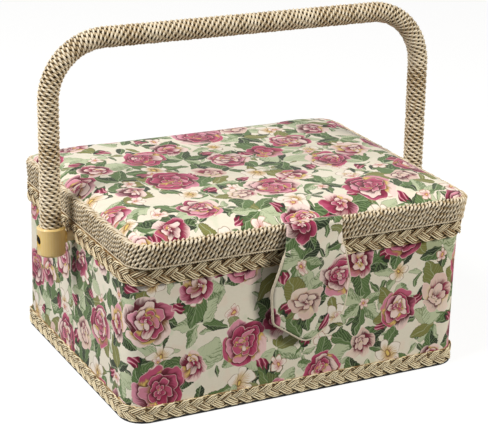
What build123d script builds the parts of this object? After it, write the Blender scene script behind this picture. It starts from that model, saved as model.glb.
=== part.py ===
from build123d import *
from math import cos, radians, sin
import os

# Fabric-covered sewing basket with one padded, hinged lid, a closure tab with a
# magnetic clasp, a lift-out tray and a cord-wound carrying handle.
# Millimetres. X runs left to right, the front faces -Y, Z is up, and the origin is
# the middle of the box's footprint on the surface that it stands on.

# ---- Driving dimensions ----
# Box
box_length = 296.0            # outside of the covered walls
box_depth = 226.6
box_corner = 17.0             # upright corners, outside of the cover
box_height = 127.2            # top of the covered wall
wall_thickness = 2.6          # chipboard of the walls
cover_thickness = 0.8         # printed cotton with its paper backing
satin_thickness = 0.8
base_thickness = 3.0
base_cloth_thickness = 0.8
base_cloth_inset = 1.0
glue_gap = 0.05               # between pieces that are glued or nested

# Straw braids round the walls
braid_bevel = 0.9
bottom_braid_proud = 2.8
bottom_braid_height = 13.8
bottom_braid_lift = 0.6       # above the surface that the box stands on
rim_braid_proud = 3.4
rim_braid_height = 14.6
rim_braid_rise = 1.3          # above the top of the covered wall

# Lid
lid_gap = 0.3                 # over the rim braid
lid_side_reach = 2.0          # beyond the covered wall, at the lower edge
lid_front_reach = 6.7
lid_back_reach = 4.7
lid_corner = 19.0
lid_side_flare = 1.5          # how much wider each side is at the upper edge
lid_front_flare = 2.0
band_height = 20.0
band_thickness = 2.6          # wound cord on the skirt's face
band_bevel = 1.0
band_top_lip = 2.2            # cord over the skirt's upper edge
band_bottom_lip = 1.2
skirt_thickness = 3.0
lid_board_thickness = 3.0
lid_recess = 12.0             # from the lid's lower edge up to its board
pad_crown = 8.4               # above the band
pad_reach = 34.0              # from the pad's edge to its level middle
pad_corner = 11.0
pad_steps = 6
pad_seat = 1.0                # from the skirt's inner face to the pad

# Inside the lid
cushion_length, cushion_depth, cushion_height = 84.0, 46.0, 9.0
cushion_from_end = 90.0       # from the lid's left end to the cushion's middle
cushion_from_back = 70.0
cushion_corner = 11.0
cushion_bevel = 2.5
pocket_depth, pocket_thickness = 78.0, 4.0
pocket_side_room = 44.0       # from the lid's end to the pocket
pocket_from_front = 70.0      # from the lid's front face to the middle
pocket_corner = 8.0
elastic_width, elastic_thickness = 6.0, 1.8

# Hinges
hinge_from_end = 53.0         # from the end of the box to the hinge's middle
hinge_width = 30.0
leaf_thickness = 1.0
lower_leaf_height = 12.0
upper_leaf_height = 14.0
knuckle_count = 5
knuckle_radius = 1.9
knuckle_gap = 0.3
hinge_pin_radius = 0.9
pin_clearance = 0.06
screw_radius = 1.2
screw_length = 6.0
screw_head_radius = 2.4
screw_head_thickness = 1.0
screw_spacing = 17.0
screw_from_knuckle = 8.2

# Closure tab: each drop is measured down from the lid's upper edge
tab_top_half_width = 24.0
tab_waist_drop, tab_waist_radius = 15.8, 60.0
tab_widest_half_width = 34.4
tab_widest_drop, tab_widest_radius = 52.8, 26.0
tab_low_half_width = 30.6
tab_low_drop, tab_low_radius = 80.8, 7.0
tab_tip_drop, tab_tip_radius = 101.8, 12.0
tab_thickness = 3.6
tab_cloth = 1.0
tab_clearance = 0.4           # from the lid band
tab_top_rise = 1.6            # above the band
tab_bend_high_drop, tab_bend_low_drop = 21.8, 62.8
tab_bend_radius = 40.0
piping_width = 1.6
piping_thickness = 2.4
anchor_length = 6.4
anchor_thickness = 1.6
anchor_front_room = 0.3

# Magnetic clasp
clasp_rise = 20.0             # from the tab's tip to the clasp's middle
clasp_radius = 9.0
clasp_bevel = 0.6
clasp_base_thickness = 2.4
clasp_cap_thickness = 2.2
clasp_gap = 0.2
clasp_stem_radius = 1.6
clasp_washer_radius = 6.5
clasp_washer_thickness = 0.8

# Handle
pivot_drop = 10.5             # from the top of the covered wall to the pivot
handle_standoff = 20.0        # from the covered wall to the centre line of each leg
handle_reach = 158.0          # pivot to the centre line of the crossbar
handle_bend = 47.0
handle_lean = 2.0             # degrees, backwards
winding_radius = 8.8
core_radius = 6.4
core_below_pivot = 8.0
winding_above_pivot = 3.8
cap_radius = 11.3
cap_above_pivot = 10.3
cap_below_pivot = 12.7
cap_bevel = 1.2
cap_boss_radius = 5.0
cap_boss_length = 1.0
cap_recess_radius = 4.2
cap_recess_depth = 2.4

# Pivots
bolt_radius = 2.5
bolt_clearance = 0.06
bolt_head_radius = 3.7
bolt_head_thickness = 1.7
bolt_end = 1.0                # beyond the nut
spacer_radius = 4.0
spacer_gap = 0.2              # between the spacer and the cap's boss
washer_radius = 6.5
washer_thickness = 1.0
nut_radius = 4.6              # across the corners
nut_thickness = 3.4

# Lift-out tray
tray_clearance = 0.3          # between the tray's flange and the ledges
tray_end_room, tray_front_room = 17.0, 9.3    # from the covered walls
tray_height = 36.0
tray_corner = 12.0
tray_wall = 1.8
tray_floor = 2.0
tray_flange = 4.8
tray_flange_thickness = 2.0
divider_drop = 4.0            # dividers are lower than the rim
cell_corner = 7.0
cell_floor_bevel = 2.0
peg_radius, peg_height = 2.7, 26.0
peg_rows, peg_columns = 3, 2
scoop_radius = 13.0
scoop_depth = 7.0
ledge_drop = 39.2             # from the top of the covered wall to the ledges
ledge_end_room, ledge_height = 28.3, 7.0
side_room = 1.0               # between the tray's body and the ledges

# ---- Places worked out from them ----
wall_inset = cover_thickness
lining_inset = wall_inset + wall_thickness
inside_inset = lining_inset + satin_thickness
board_top = box_height - cover_thickness
floor_top = base_cloth_thickness + base_thickness
rim_top = box_height + rim_braid_rise
rim_bottom = rim_top - rim_braid_height

lid_length = box_length + 2 * lid_side_reach
lid_front = box_depth / 2 + lid_front_reach
lid_back = box_depth / 2 + lid_back_reach
lid_bottom = rim_top + lid_gap
lid_top = lid_bottom + band_height
skirt_inset = band_thickness + glue_gap
lid_inside = skirt_inset + skirt_thickness + glue_gap
pad_inset = lid_inside + pad_seat
lip_inset = pad_inset - glue_gap
ceiling = lid_bottom + lid_recess
lid_board_low = ceiling + satin_thickness + glue_gap
pad_low = lid_board_low + lid_board_thickness + glue_gap
cushion_x = cushion_from_end - lid_length / 2
cushion_y = lid_back - cushion_from_back
pocket_length = lid_length - 2 * pocket_side_room
pocket_y = pocket_from_front - lid_front

hinge_y = lid_back + knuckle_radius + 0.15
hinge_z = rim_top + lid_gap / 2
rim_back = box_depth / 2 + rim_braid_proud
front_wall = -box_depth / 2
band_front = -(lid_front + lid_front_flare)

tab_back_high = band_front - tab_clearance
tab_back_low = front_wall - clasp_base_thickness - clasp_gap - clasp_cap_thickness - glue_gap
tab_top = lid_top + tab_top_rise
tab_tip_height = lid_top - tab_tip_drop
clasp_height = tab_tip_height + clasp_rise

pivot_height = box_height - pivot_drop
handle_half_span = box_length / 2 + handle_standoff
cap_face = handle_half_span - cap_radius - cap_boss_length
inner_wall = box_length / 2 - inside_inset

tray_length = box_length - 2 * tray_end_room
tray_depth = box_depth - 2 * tray_front_room
ledge_top = box_height - ledge_drop
ledge_length = box_depth - 2 * ledge_end_room
ledge_inner = tray_length / 2 + side_room
parts = {}


# ---- Shared shapes ----
def span(x, y, z):
    """Box between two limits along each axis."""
    size = [high - low for low, high in (x, y, z)]
    centre = [(low + high) / 2 for low, high in (x, y, z)]
    return Pos(*centre) * Box(*size)


def rounded_block(length, depth, corner, low, high):
    """Upright block with rounded corners."""
    return Pos(0, 0, low) * extrude(RectangleRounded(length, depth, corner), high - low)


def box_block(inset, low, high):
    """Block with the box's outline, moved in from the outside of its cover."""
    return rounded_block(
        box_length - 2 * inset, box_depth - 2 * inset, box_corner - inset, low, high
    )


def rod_x(radius, x_start, x_end, y, z):
    """Round bar along X."""
    bar = Cylinder(radius, abs(x_end - x_start), rotation=(0, 90, 0))
    return Pos((x_start + x_end) / 2, y, z) * bar


def rod_y(radius, y_start, y_end, x, z):
    """Round bar along Y."""
    bar = Cylinder(radius, abs(y_end - y_start), rotation=(90, 0, 0))
    return Pos(x, (y_start + y_end) / 2, z) * bar


def group(pieces):
    """Several separate solids kept as one node."""
    return Compound(children=[solid for piece in pieces for solid in piece.solids()])


def joined(pieces):
    """One solid from overlapping or touching pieces."""
    total = pieces[0]
    for piece in pieces[1:]:
        total += piece
    return total


def lid_section(inset, height, corner_least=2.0):
    """Outline of the flared lid at one height, moved in all round."""
    share = (height - lid_bottom) / band_height
    length = lid_length + 2 * lid_side_flare * share - 2 * inset
    front = lid_front + lid_front_flare * share - inset
    back = lid_back - inset
    corner = max(lid_corner - inset, corner_least)
    outline = RectangleRounded(length, front + back, corner)
    return Pos(0, (back - front) / 2, height) * outline


def lid_block(inset, low, high):
    """Solid with the lid's flared outline between two heights."""
    return loft([lid_section(inset, low), lid_section(inset, high)], ruled=True)


# ---- Box ----
def pivot_holes(radius):
    """Clearance for both handle pivots through everything that they cross."""
    reach = box_length / 2 + rim_braid_proud + 5
    return joined([rod_x(radius, side * (inner_wall - 5), side * reach, 0, pivot_height)
                   for side in (-1, 1)])


def make_walls():
    bolt_hole = pivot_holes(bolt_radius + bolt_clearance)
    stem = rod_y(clasp_stem_radius + glue_gap, front_wall - 1, front_wall + inside_inset, 0, clasp_height)
    pocket_depth_y = clasp_washer_thickness + glue_gap
    pocket = rod_y(clasp_washer_radius + glue_gap, front_wall + lining_inset - pocket_depth_y,
                   front_wall + lining_inset + glue_gap, 0, clasp_height)
    screws = hinge_screw_holes()

    wall = box_block(wall_inset, base_cloth_thickness, board_top)
    wall -= box_block(lining_inset, 0, box_height)
    parts["wall_board"] = wall - bolt_hole - stem - pocket - screws

    # The cover turns over the upper edge of the board.
    cover = box_block(0, base_cloth_thickness, box_height)
    cover -= box_block(wall_inset - glue_gap / 2, 0, board_top + glue_gap / 2)
    cover -= box_block(lining_inset, 0, box_height + 1)
    parts["wall_cover"] = cover - bolt_hole - stem - screws

    parts["base_board"] = box_block(lining_inset + glue_gap, base_cloth_thickness, floor_top)
    parts["base_cloth"] = box_block(base_cloth_inset, 0, base_cloth_thickness)

    lining = box_block(lining_inset + glue_gap, floor_top + glue_gap, board_top)
    lining -= box_block(inside_inset, floor_top + glue_gap + satin_thickness, box_height)
    parts["box_lining"] = lining - bolt_hole


def braid_ring(proud, low, high):
    """Flat braid glued round the walls, with its outer edges sloped off."""
    outer = box_block(-proud, low, high)
    edges = outer.faces().sort_by(Axis.Z)[0].edges() + outer.faces().sort_by(Axis.Z)[-1].edges()
    return chamfer(edges, braid_bevel) - box_block(-glue_gap, low - 1, high + 1)


def make_braids():
    parts["bottom_braid"] = braid_ring(
        bottom_braid_proud, bottom_braid_lift, bottom_braid_lift + bottom_braid_height
    )
    rim = braid_ring(rim_braid_proud, rim_bottom, rim_top)
    parts["rim_braid"] = rim - pivot_holes(spacer_radius + 0.1) - hinge_screw_holes()


def make_ledges():
    ledge_low = ledge_top - ledge_height
    parts["tray_ledges"] = group([
        span(sorted((side * ledge_inner, side * (inner_wall - glue_gap))),
             (-ledge_length / 2, ledge_length / 2), (ledge_low, ledge_top))
        for side in (-1, 1)
    ])


# ---- Hinges at the back ----
def hinge_places():
    place = box_length / 2 - hinge_from_end
    return (-place, place)


def knuckles(owner):
    """Middle and length of each knuckle: owner 0 is the box, 1 is the lid."""
    pitch = hinge_width / knuckle_count
    return [
        (-hinge_width / 2 + (i + 0.5) * pitch, pitch - knuckle_gap)
        for i in range(owner, knuckle_count, 2)
    ]


def screw_places(side):
    """Centres of the leaf screws: side -1 is below the knuckle, 1 is above it."""
    height = hinge_z + side * screw_from_knuckle
    return [(middle + half * screw_spacing / 2, height)
            for middle in hinge_places() for half in (-1, 1)]


def hinge_screw_holes():
    """Pilot holes of the lower leaf screws through braid, cover and wall."""
    depth = rim_back - screw_length
    return joined([rod_y(screw_radius + glue_gap, depth - 1, rim_back + 1, x, z)
                   for x, z in screw_places(-1)])


def hinge_leaf(owner, middle):
    """One leaf with its knuckles; the leaf lies flat on what it is screwed to."""
    side = 1 if owner else -1
    seat = (lid_back if owner else rim_back) + glue_gap
    height = upper_leaf_height if owner else lower_leaf_height
    near = hinge_z + side * (knuckle_radius + 0.3)
    far = near + side * height
    plate = span((middle - hinge_width / 2, middle + hinge_width / 2),
                 (seat, seat + leaf_thickness), sorted((near, far)))
    leaf = [plate]
    for offset, length in knuckles(owner):
        x = middle + offset
        across = (x - length / 2, x + length / 2)
        if owner:
            leaf.append(span(across, (seat, seat + leaf_thickness), (hinge_z, near + 0.5)))
        else:
            web_low = hinge_z - knuckle_radius
            leaf.append(span(across, (seat, seat + leaf_thickness), (near - 0.5, web_low + leaf_thickness)))
            leaf.append(span(across, (seat, hinge_y), (web_low, web_low + leaf_thickness)))
        leaf.append(rod_x(knuckle_radius, across[0], across[1], hinge_y, hinge_z))
    solid = joined(leaf)
    solid -= rod_x(hinge_pin_radius + pin_clearance, middle - hinge_width, middle + hinge_width,
                   hinge_y, hinge_z)
    for x, z in screw_places(side):
        if abs(x - middle) < hinge_width / 2:
            solid -= rod_y(screw_radius + glue_gap, seat - 1, seat + leaf_thickness + 1, x, z)
    return solid


def leaf_screws(side, seat):
    """Round-headed screws that hold the leaves of one side."""
    under_head = seat + glue_gap + leaf_thickness
    screws = []
    for x, z in screw_places(side):
        head = rod_y(screw_head_radius, under_head, under_head + screw_head_thickness, x, z)
        head = chamfer(head.faces().sort_by(Axis.Y)[-1].edges(), screw_head_thickness / 2)
        shank = rod_y(screw_radius, seat - screw_length + 0.5, under_head, x, z)
        screws.append(head + shank)
    return group(screws)


def make_hinges():
    parts["hinge_lower_leaves"] = group([hinge_leaf(0, middle) for middle in hinge_places()])
    parts["hinge_upper_leaves"] = group([hinge_leaf(1, middle) for middle in hinge_places()])
    half = hinge_width / 2
    parts["hinge_pins"] = group([
        rod_x(hinge_pin_radius, middle - half, middle + half, hinge_y, hinge_z)
        for middle in hinge_places()
    ])
    parts["hinge_lower_screws"] = leaf_screws(-1, rim_back)
    parts["hinge_upper_screws"] = leaf_screws(1, lid_back)


# ---- Lid ----
def pad(skin, low):
    """Crowned pad; skin is how far under the finished cover its surface lies."""
    sections = [lid_section(pad_inset + skin, low, pad_corner)]
    for i in range(pad_steps + 1):
        angle = radians(90 * i / pad_steps)
        inset = pad_inset + skin + (pad_reach - skin) * (1 - cos(angle))
        height = lid_top + (pad_crown - skin) * sin(angle)
        sections.append(lid_section(inset, height, pad_corner))
    return loft(sections, ruled=True)


def make_lid():
    skirt_low = lid_bottom + band_bottom_lip
    skirt_high = lid_top - band_top_lip
    levels = ((band_bevel, lid_bottom), (0, lid_bottom + band_bevel),
              (0, lid_top - band_bevel), (band_bevel, lid_top))
    band = loft([lid_section(inset, height) for inset, height in levels], ruled=True)
    band -= lid_block(band_thickness, skirt_low, skirt_high)
    band -= lid_block(lip_inset, lid_bottom - 1, lid_top + 1)
    screws = joined([rod_y(screw_radius + glue_gap, lid_back - screw_length, lid_back + 1, x, z)
                     for x, z in screw_places(1)])
    parts["lid_band"] = band - screws

    skirt = lid_block(skirt_inset, skirt_low + glue_gap, skirt_high - glue_gap)
    skirt -= lid_block(skirt_inset + skirt_thickness, skirt_low - 1, skirt_high + 1)
    parts["lid_skirt"] = skirt - screws

    parts["lid_board"] = lid_block(lid_inside, lid_board_low, lid_board_low + lid_board_thickness)
    lining = lid_block(lid_inside, skirt_low + glue_gap, lid_board_low - glue_gap)
    parts["lid_lining"] = lining - lid_block(lid_inside + satin_thickness, lid_bottom - 1, ceiling)

    parts["lid_foam"] = pad(cover_thickness + glue_gap, pad_low)
    parts["lid_cover"] = pad(0, pad_low) - pad(cover_thickness, pad_low - 1)


def make_lid_fittings():
    cushion = rounded_block(cushion_length, cushion_depth, cushion_corner,
                            ceiling - glue_gap - cushion_height, ceiling - glue_gap)
    cushion = chamfer(cushion.faces().sort_by(Axis.Z)[0].edges(), cushion_bevel)
    parts["pin_cushion"] = Pos(cushion_x, cushion_y, 0) * cushion

    pocket_low = ceiling - glue_gap - pocket_thickness
    pocket = rounded_block(pocket_length, pocket_depth, pocket_corner, pocket_low, ceiling - glue_gap)
    parts["lid_pocket"] = Pos(0, pocket_y, 0) * pocket
    # The mouth is at the front edge, which is uppermost when the lid stands open.
    elastic_edge = pocket_y - pocket_depth / 2 + elastic_width
    parts["pocket_elastic"] = span((-pocket_length / 2 + pocket_corner, pocket_length / 2 - pocket_corner),
                                   (elastic_edge, elastic_edge + elastic_width),
                                   (pocket_low - glue_gap - elastic_thickness, pocket_low - glue_gap))


# ---- Closure tab ----
def tab_outline():
    """Front view of the tab, in the XZ plane."""
    right = [
        (tab_top_half_width, tab_top),
        (tab_top_half_width, lid_top - tab_waist_drop),
        (tab_widest_half_width, lid_top - tab_widest_drop),
        (tab_low_half_width, lid_top - tab_low_drop),
        (0, tab_tip_height),
    ]
    left = [(-x, z) for x, z in reversed(right[:-1])]
    radii = [tab_waist_radius, tab_widest_radius, tab_low_radius]
    edge = FilletPolyline(*right, *left, radius=[*radii, tab_tip_radius, *reversed(radii)])
    return make_face(edge + Line(edge @ 1, edge @ 0))


def hanging(outline, start, end):
    """The outline given thickness along the tab's curve, from its back face outwards."""
    flat = Plane.XZ * extrude(outline, box_depth)
    low, high = tab_tip_height - 10, tab_top + 10

    def curve(offset):
        points = [(tab_back_high - offset, high),
                  (tab_back_high - offset, lid_top - tab_bend_high_drop),
                  (tab_back_low - offset, lid_top - tab_bend_low_drop),
                  (tab_back_low - offset, low)]
        return FilletPolyline(*points, radius=tab_bend_radius)

    back, face = curve(start), curve(end)
    ring = back + face + Line(back @ 0, face @ 0) + Line(back @ 1, face @ 1)
    reach = 2 * tab_widest_half_width
    profile = Pos(-reach / 2, 0, 0) * (Plane.YZ * extrude(make_face(ring), reach))
    return flat & profile


def make_tab():
    outline = tab_outline()
    inner = offset(outline, -tab_cloth, kind=Kind.INTERSECTION)
    core = offset(outline, -tab_cloth - glue_gap, kind=Kind.INTERSECTION)
    parts["tab_cover"] = hanging(outline, 0, tab_thickness) - hanging(
        inner, tab_cloth, tab_thickness - tab_cloth)
    parts["tab_stiffener"] = hanging(core, tab_cloth + glue_gap, tab_thickness - tab_cloth - glue_gap)

    # The piping runs down both sides and round the tip, not across the top.
    middle = tab_thickness / 2
    wide = offset(outline, piping_width, kind=Kind.ARC)
    clear = offset(outline, glue_gap, kind=Kind.ARC)
    ring = hanging(wide, middle - piping_thickness / 2, middle + piping_thickness / 2)
    ring -= hanging(clear, -1, tab_thickness + 1)
    parts["tab_piping"] = ring - span((-box_length / 2, box_length / 2), (-box_depth, 0),
                                      (lid_top - tab_waist_drop, tab_top + tab_waist_drop))

    anchor_half = tab_top_half_width - tab_cloth
    anchor_front = band_front - anchor_front_room
    parts["tab_anchor"] = span((-anchor_half, anchor_half),
                               (anchor_front, anchor_front + anchor_length),
                               (lid_top + glue_gap, lid_top + glue_gap + anchor_thickness))


def make_clasp():
    base_face = front_wall - clasp_base_thickness
    base = rod_y(clasp_radius, base_face, front_wall - glue_gap, 0, clasp_height)
    base = chamfer(base.faces().sort_by(Axis.Y)[0].edges(), clasp_bevel)
    stem_end = front_wall + lining_inset - clasp_washer_thickness
    base += rod_y(clasp_stem_radius, front_wall - glue_gap, stem_end, 0, clasp_height)
    parts["clasp_base"] = base
    parts["clasp_washer"] = rod_y(clasp_washer_radius, stem_end, front_wall + lining_inset, 0, clasp_height)
    cap_start = base_face - clasp_gap
    cap = rod_y(clasp_radius, cap_start - clasp_cap_thickness, cap_start, 0, clasp_height)
    parts["clasp_cap"] = chamfer(cap.faces().sort_by(Axis.Y)[-1].edges(), clasp_bevel)


# ---- Handle ----
def on_handle(shape):
    """Place a shape that is drawn about the pivot axis, with the handle's lean."""
    return Pos(0, 0, pivot_height) * Rot(-handle_lean, 0, 0) * shape


def bail(section, foot):
    """Section swept along the handle's centre line; foot is its ends' height over the pivot."""
    points = [(-handle_half_span, 0, foot), (-handle_half_span, 0, handle_reach),
              (handle_half_span, 0, handle_reach), (handle_half_span, 0, foot)]
    path = FilletPolyline(*points, radius=handle_bend)
    return sweep(Plane(origin=path @ 0, z_dir=path % 0) * section, path=path)


def end_cap(side):
    """Moulded cap on one leg: it holds the winding's end and turns on the pivot bolt."""
    x = side * handle_half_span
    cap = Pos(x, 0, (cap_above_pivot - cap_below_pivot) / 2) * Cylinder(
        cap_radius, cap_above_pivot + cap_below_pivot)
    rims = cap.faces().sort_by(Axis.Z)
    cap = chamfer(rims[0].edges() + rims[-1].edges(), cap_bevel)
    cap += rod_x(cap_boss_radius, side * cap_face, x, 0, 0)
    mouth = winding_radius + 0.15
    cap -= Pos(x, 0, (cap_above_pivot + winding_above_pivot) / 2) * Cylinder(
        mouth, cap_above_pivot - winding_above_pivot)
    socket = core_below_pivot + winding_above_pivot
    cap -= Pos(x, 0, (winding_above_pivot - core_below_pivot) / 2) * Cylinder(
        core_radius + glue_gap, socket)
    cap -= rod_x(bolt_radius + bolt_clearance, side * (cap_face - 1), x + side * cap_radius, 0, 0)
    recess = side * (handle_half_span + cap_radius - cap_recess_depth)
    cap -= rod_x(cap_recess_radius, recess, x + side * (cap_radius + 1), 0, 0)
    return on_handle(cap)


def make_handle():
    core = bail(Circle(core_radius), -core_below_pivot)
    for side in (-1, 1):
        x = side * handle_half_span
        core -= rod_x(bolt_radius + bolt_clearance, x - cap_radius, x + cap_radius, 0, 0)
    parts["handle_core"] = on_handle(core)
    winding = Circle(winding_radius) - Circle(core_radius + glue_gap)
    parts["handle_winding"] = on_handle(bail(winding, winding_above_pivot + glue_gap))
    parts["end_cap_left"] = end_cap(-1)
    parts["end_cap_right"] = end_cap(1)


def make_pivots():
    bolts, spacers, washers, nuts = [], [], [], []
    washer_end = inner_wall - glue_gap - washer_thickness
    nut_end = washer_end - glue_gap - nut_thickness
    head_seat = handle_half_span + cap_radius - cap_recess_depth + glue_gap
    for side in (-1, 1):
        shaft = rod_x(bolt_radius, side * (nut_end - bolt_end), side * head_seat, 0, pivot_height)
        head = rod_x(bolt_head_radius, side * head_seat, side * (head_seat + bolt_head_thickness),
                     0, pivot_height)
        rim = head.faces().sort_by(Axis.X)[-1 if side > 0 else 0].edges()
        bolts.append(shaft + chamfer(rim, bolt_head_thickness / 2))
        bore = rod_x(bolt_radius + bolt_clearance, side * (nut_end - 5), side * cap_face, 0, pivot_height)
        spacer = rod_x(spacer_radius, side * (box_length / 2 + glue_gap), side * (cap_face - spacer_gap),
                       0, pivot_height)
        spacers.append(spacer - bore)
        washer = rod_x(washer_radius, side * washer_end, side * (inner_wall - glue_gap), 0, pivot_height)
        washers.append(washer - bore)
        hexagon = extrude(RegularPolygon(nut_radius, 6), nut_thickness)
        nut = Pos(side * nut_end, 0, pivot_height) * Rot(0, side * 90, 0) * hexagon
        nuts.append(nut - bore)
    parts["pivot_bolts"] = group(bolts)
    parts["pivot_spacers"] = group(spacers)
    parts["pivot_washers"] = group(washers)
    parts["pivot_nuts"] = group(nuts)


# ---- Tray ----
def tray_cell(x_low, x_high, y_low, y_high, low, high):
    """Space of one compartment, with rounded corners and a sloped floor edge."""
    cell = Pos((x_low + x_high) / 2, (y_low + y_high) / 2, 0) * rounded_block(
        x_high - x_low, y_high - y_low, cell_corner, low, high)
    return chamfer(cell.faces().sort_by(Axis.Z)[0].edges(), cell_floor_bevel)


def tray_columns():
    """Limits in X of each column of compartments, and how many each one holds."""
    inner = tray_length / 2 - tray_wall
    step = (2 * inner + tray_wall) / 3
    return [(-inner + i * step, -inner + (i + 1) * step - tray_wall, count)
            for i, count in enumerate((3, 2, 1))]


def make_tray():
    tray_top = ledge_top + tray_clearance + tray_flange_thickness
    tray_low = tray_top - tray_height
    cell_low = tray_low + tray_floor
    body = rounded_block(tray_length, tray_depth, tray_corner, tray_low, tray_top)
    body = chamfer(body.faces().sort_by(Axis.Z)[0].edges(), cell_floor_bevel)
    body += rounded_block(tray_length + 2 * tray_flange, tray_depth + 2 * tray_flange,
                          tray_corner + tray_flange, tray_top - tray_flange_thickness, tray_top)
    inner = tray_depth / 2 - tray_wall
    for x_low, x_high, count in tray_columns():
        pitch = (2 * inner + tray_wall) / count
        for i in range(count):
            y_low = -inner + i * pitch
            body -= tray_cell(x_low, x_high, y_low, y_low + pitch - tray_wall, cell_low, tray_top + 5)
    # Everything inside the rim wall is open above the dividers.
    body -= rounded_block(tray_length - 2 * tray_wall, tray_depth - 2 * tray_wall,
                          tray_corner - tray_wall, tray_top - divider_drop, tray_top + 5)
    # Thread pegs stand in the single column at the right.
    x_low, x_high, _ = tray_columns()[-1]
    for i in range(peg_columns):
        for j in range(peg_rows):
            x = x_low + (x_high - x_low) * (i + 0.5) / peg_columns
            y = -inner + 2 * inner * (j + 0.5) / peg_rows
            body += Pos(x, y, cell_low + peg_height / 2) * Cylinder(peg_radius, peg_height)
    # Finger scoops in the front and back walls.
    scoop_centre = tray_top + scoop_radius - scoop_depth
    body -= rod_y(scoop_radius, -tray_depth, tray_depth, 0, scoop_centre)
    parts["tray"] = body


def main():
    make_walls()
    make_braids()
    make_ledges()
    make_hinges()
    make_lid()
    make_lid_fittings()
    make_tab()
    make_clasp()
    make_handle()
    make_pivots()
    make_tray()
    os.makedirs("parts", exist_ok=True)
    for name, shape in parts.items():
        export_step(shape, os.path.join("parts", name + ".step"))


main()
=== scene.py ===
from math import acos, atan2, cos, pi, radians, sin, tan, tau

import bmesh
import bpy
from mathutils import Matrix, Vector
import numpy as np


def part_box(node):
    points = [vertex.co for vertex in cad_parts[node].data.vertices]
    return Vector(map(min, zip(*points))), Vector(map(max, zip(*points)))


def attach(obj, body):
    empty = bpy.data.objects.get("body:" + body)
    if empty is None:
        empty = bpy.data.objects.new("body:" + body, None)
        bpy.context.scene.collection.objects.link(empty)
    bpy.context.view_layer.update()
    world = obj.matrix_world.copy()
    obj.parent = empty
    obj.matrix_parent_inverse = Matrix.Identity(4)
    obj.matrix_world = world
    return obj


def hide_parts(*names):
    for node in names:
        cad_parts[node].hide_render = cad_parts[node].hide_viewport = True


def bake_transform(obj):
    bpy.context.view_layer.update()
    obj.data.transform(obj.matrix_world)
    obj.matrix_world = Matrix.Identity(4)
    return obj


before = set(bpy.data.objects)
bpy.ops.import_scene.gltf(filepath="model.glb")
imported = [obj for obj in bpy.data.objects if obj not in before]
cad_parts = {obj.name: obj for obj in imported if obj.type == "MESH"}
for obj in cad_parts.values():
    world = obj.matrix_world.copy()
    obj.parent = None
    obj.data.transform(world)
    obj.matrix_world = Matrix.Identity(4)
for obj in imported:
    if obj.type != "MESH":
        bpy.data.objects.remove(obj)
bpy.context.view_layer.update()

# Fabric-covered sewing basket. All lengths are millimetres until a mesh is made.
# X runs left to right, the front faces -Y and Z is up, as in the CAD.
MM = 0.001
chance = np.random.default_rng(11)


def node_box(node):
    """Lowest and highest corners of a CAD node."""
    return [np.array(corner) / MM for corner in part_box(node)]


# ---- Sizes that the CAD also has ----
wall_low, wall_high = node_box("wall_cover")
wall_corner = 17.0
cover_thickness, wall_thickness, satin_thickness = 0.8, 2.6, 0.8
lining_inset = cover_thickness + wall_thickness + 0.05
inside_inset = lining_inset + satin_thickness

band_low, band_high = node_box("lid_band")
lid_corner = 19.0
side_flare, front_flare = 1.5, 2.0      # how much wider the lid is at its upper edge
lid_bottom, lid_top = band_low[2], band_high[2]
band_height = lid_top - lid_bottom
pad_inset, pad_corner, pad_reach = 6.7, 11.0, 34.0
pad_top = node_box("lid_cover")[1][2]

pivot_height = 116.7
handle_reach, handle_bend, handle_lean = 158.0, 47.0, 2.0
winding_radius, winding_foot = 8.8, 4.0
leg_x = node_box("handle_winding")[1][0] - winding_radius


# ---- Outlines ----
up_way = np.array([0.0, 0.0, 1.0])


def vec(*parts):
    """Points or directions from their parts, which may be arrays or numbers."""
    return np.stack(np.broadcast_arrays(*parts), -1)


def unit(vectors):
    return vectors / np.linalg.norm(vectors, axis=-1, keepdims=True)


def run_up(lengths):
    """Distance at the start of each length and at the end of the last."""
    return np.concatenate([[0], np.cumsum(lengths)])


class Outline:
    """Rounded rectangle seen from above; distances run from the middle of its front to +X."""

    # Which corner each run starts from, from the middle of the front all the way round.
    ends = np.array([(0, -1), (1, -1), (1, -1), (1, 1), (1, 1), (-1, 1), (-1, 1), (-1, -1),
                     (-1, -1), (0, -1)])

    def __init__(self, half, front, back, corner, side_grow=0.0, front_grow=0.0):
        self.half, self.front, self.back, self.corner = half, front, back, corner
        self.side_grow, self.front_grow = side_grow, front_grow
        bend, side, end = corner * pi / 2, front + back - 2 * corner, half - corner
        self.runs = np.array([end, bend, side, bend, 2 * end, bend, side, bend, end])
        self.starts = run_up(self.runs)
        self.length = self.starts[-1]

    def round(self, count):
        """Distances of evenly spaced places all the way round."""
        return np.linspace(0, self.length, count, endpoint=False)

    def at(self, s, inset=0.0, rise=0.0):
        """Points and outward directions at distances s, moved in by inset.

        rise goes from 0 at the lower edge to 1 at the upper edge of a flared outline."""
        s = np.mod(s, self.length)
        run = np.clip(np.searchsorted(self.starts, s, "right") - 1, 0, 8)
        share = (s - self.starts[run]) / self.runs[run]
        angle = (run // 2 + (run % 2) * share - 1) * pi / 2
        outward = vec(np.cos(angle), np.sin(angle))
        side = self.ends[run] + (self.ends[run + 1] - self.ends[run]) * share[..., None]
        front = self.front + self.front_grow * rise
        x = (self.half + self.side_grow * rise - self.corner) * side[..., 0]
        y = ((front + self.back) / 2 - self.corner) * side[..., 1] + (self.back - front) / 2
        radius = self.corner - inset
        return vec(x + outward[..., 0] * radius, y + outward[..., 1] * radius), outward


walls = Outline(wall_high[0], -wall_low[1], wall_high[1], wall_corner)
lid = Outline(band_high[0] - side_flare, -band_low[1] - front_flare, band_high[1], lid_corner,
              side_flare, front_flare)


def raised(flat, outward, height):
    """Points in space and outward directions, from an outline's and a height."""
    return vec(flat[..., 0], flat[..., 1], height), vec(outward[..., 0], outward[..., 1], 0.0)


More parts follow.
